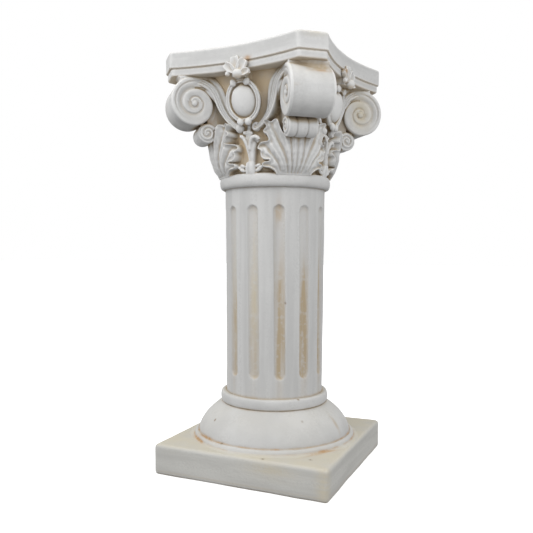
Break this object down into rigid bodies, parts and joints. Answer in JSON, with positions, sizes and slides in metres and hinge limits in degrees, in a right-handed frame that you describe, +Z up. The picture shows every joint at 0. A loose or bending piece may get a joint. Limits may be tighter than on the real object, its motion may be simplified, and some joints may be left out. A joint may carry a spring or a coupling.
{
  "type": "ionic column pedestal",
  "caption": "Waist-high plaster pedestal: fluted column on a square plinth and domed base, with a scrolled, leafy capital under a horned square top.",
  "frame": {"origin": "centre of the plinth's underside, on the column's axis", "axes": "+Z up along the column; -Y out of one face of the plinth, +X out of the face to its right; the volutes stand near the diagonals"},
  "size_m": [0.365, 0.365, 0.76],
  "materials": {
    "antique_plaster": "matt off-white cast plaster with a beige-brown antique wash left in the recesses"
  },
  "bodies": {
    "root": {"pedestal": "antique_plaster"}
  },
  "joints": []
}
